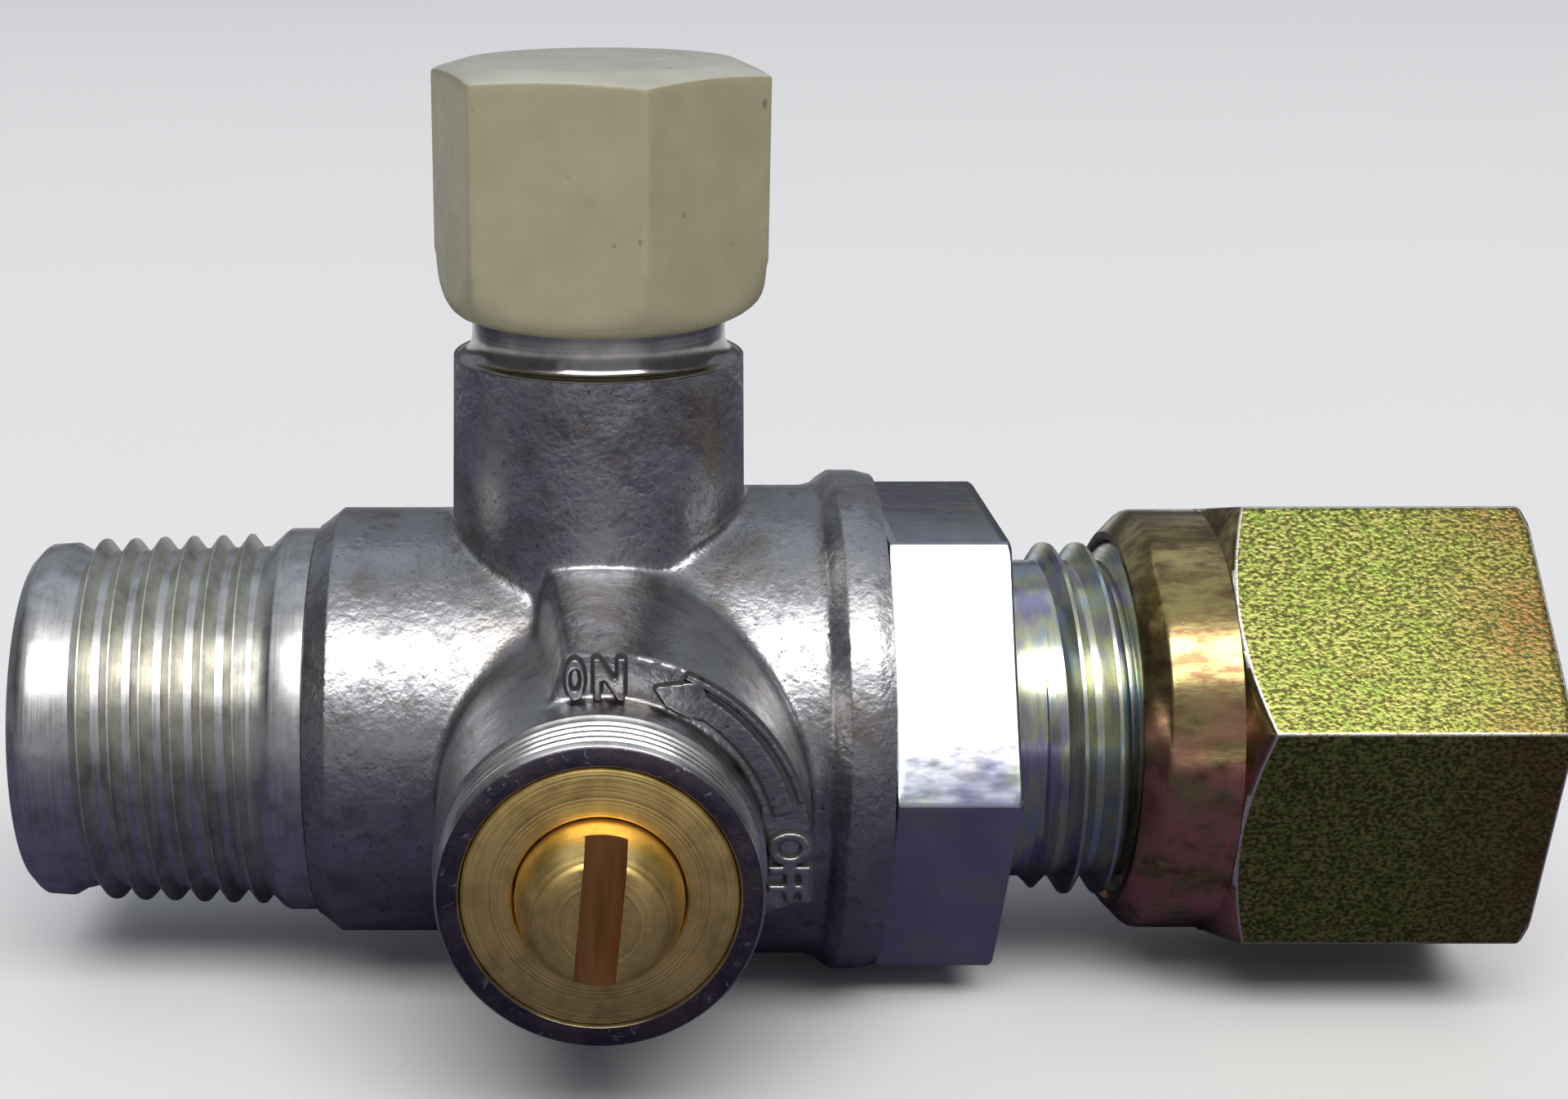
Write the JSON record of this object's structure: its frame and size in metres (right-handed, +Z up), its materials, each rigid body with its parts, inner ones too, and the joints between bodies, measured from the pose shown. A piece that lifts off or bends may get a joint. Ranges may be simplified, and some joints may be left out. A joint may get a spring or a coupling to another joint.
{
  "type": "regulating valve",
  "caption": "Cast regulating valve with a slotted quarter-turn shut-off stem, a capped regulating spindle, a taper-thread inlet and a cutting-ring tube outlet.",
  "frame": {"origin": "middle of the inlet face, at the free end of the taper thread, on the flow axis", "axes": "+X with the flow towards the tube outlet, +Y away from the slotted stem, +Z up along the neck towards the cap"},
  "size_m": [0.0656, 0.033, 0.0411],
  "materials": {
    "cast_metal": "cast, slightly rough, turned on the threads",
    "cap_plastic": "satin beige plastic",
    "rubber": "matt black rubber",
    "brass": "turned brass",
    "copper": "soft copper",
    "ptfe": "white, waxy",
    "spring_steel": "plain steel",
    "zinc_steel": "clear zinc plate",
    "yellow_zinc": "yellow chromated zinc plate"
  },
  "bodies": {
    "valve": {"valve_body": "cast_metal", "spindle_bonnet": "brass", "bonnet_gasket": "copper", "seat_insert": "brass", "plug_sleeve": "ptfe", "thrust_washer": "ptfe", "disc_spring": "spring_steel", "gland_ring": "brass", "gland_o_ring": "rubber", "stop_pin": "spring_steel", "stud_coupling": "zinc_steel", "coupling_seal": "rubber"},
    "cap_seal": {"cap_gasket": "rubber"},
    "cap": {"cap": "cap_plastic"},
    "spindle_seal": {"spindle_o_ring": "rubber"},
    "spindle": {"regulating_spindle": "brass"},
    "stem": {"shutoff_stem": "brass", "stem_o_ring_front": "rubber", "stem_o_ring_rear": "rubber"},
    "tube_clamp": {"cutting_ring": "yellow_zinc"},
    "nut": {"compression_nut": "yellow_zinc"}
  },
  "joints": [
    {"name": "stem_turn", "type": "hinge", "parent": "valve", "child": "stem", "pos_m": [0.0254, 0, 0], "axis": [0, 1, 0], "range_deg": [-5, 85]},
    {"name": "spindle_rise", "type": "slide", "parent": "valve", "child": "spindle_seal", "axis": [0, 0, 1], "range_m": [-0.0011, 0.0011]},
    {"name": "spindle_turn", "type": "hinge", "parent": "spindle_seal", "child": "spindle", "pos_m": [0.0254, 0, 0.015], "axis": [0, 0, 1], "range_deg": [-529, 529]},
    {"name": "cap_rise", "type": "slide", "parent": "valve", "child": "cap_seal", "axis": [0, 0, 1], "range_m": [0, 0.006]},
    {"name": "cap_unscrew", "type": "hinge", "parent": "cap_seal", "child": "cap", "pos_m": [0.0254, 0, 0.024], "axis": [0, 0, 1], "range_deg": [-1, 2161]},
    {"name": "nut_advance", "type": "slide", "parent": "valve", "child": "tube_clamp", "axis": [1, 0, 0], "range_m": [0, 0.00825]},
    {"name": "nut_unscrew", "type": "hinge", "parent": "tube_clamp", "child": "nut", "pos_m": [0.057, 0, 0], "axis": [1, 0, 0], "range_deg": [-1, 1981]}
  ],
  "couplings": [
    {"joint": "spindle_turn", "follows": "spindle_rise", "rad_per_m": 8377.6},
    {"joint": "cap_unscrew", "follows": "cap_rise", "rad_per_m": 6283.2},
    {"joint": "nut_unscrew", "follows": "nut_advance", "rad_per_m": 4188.8}
  ]
}
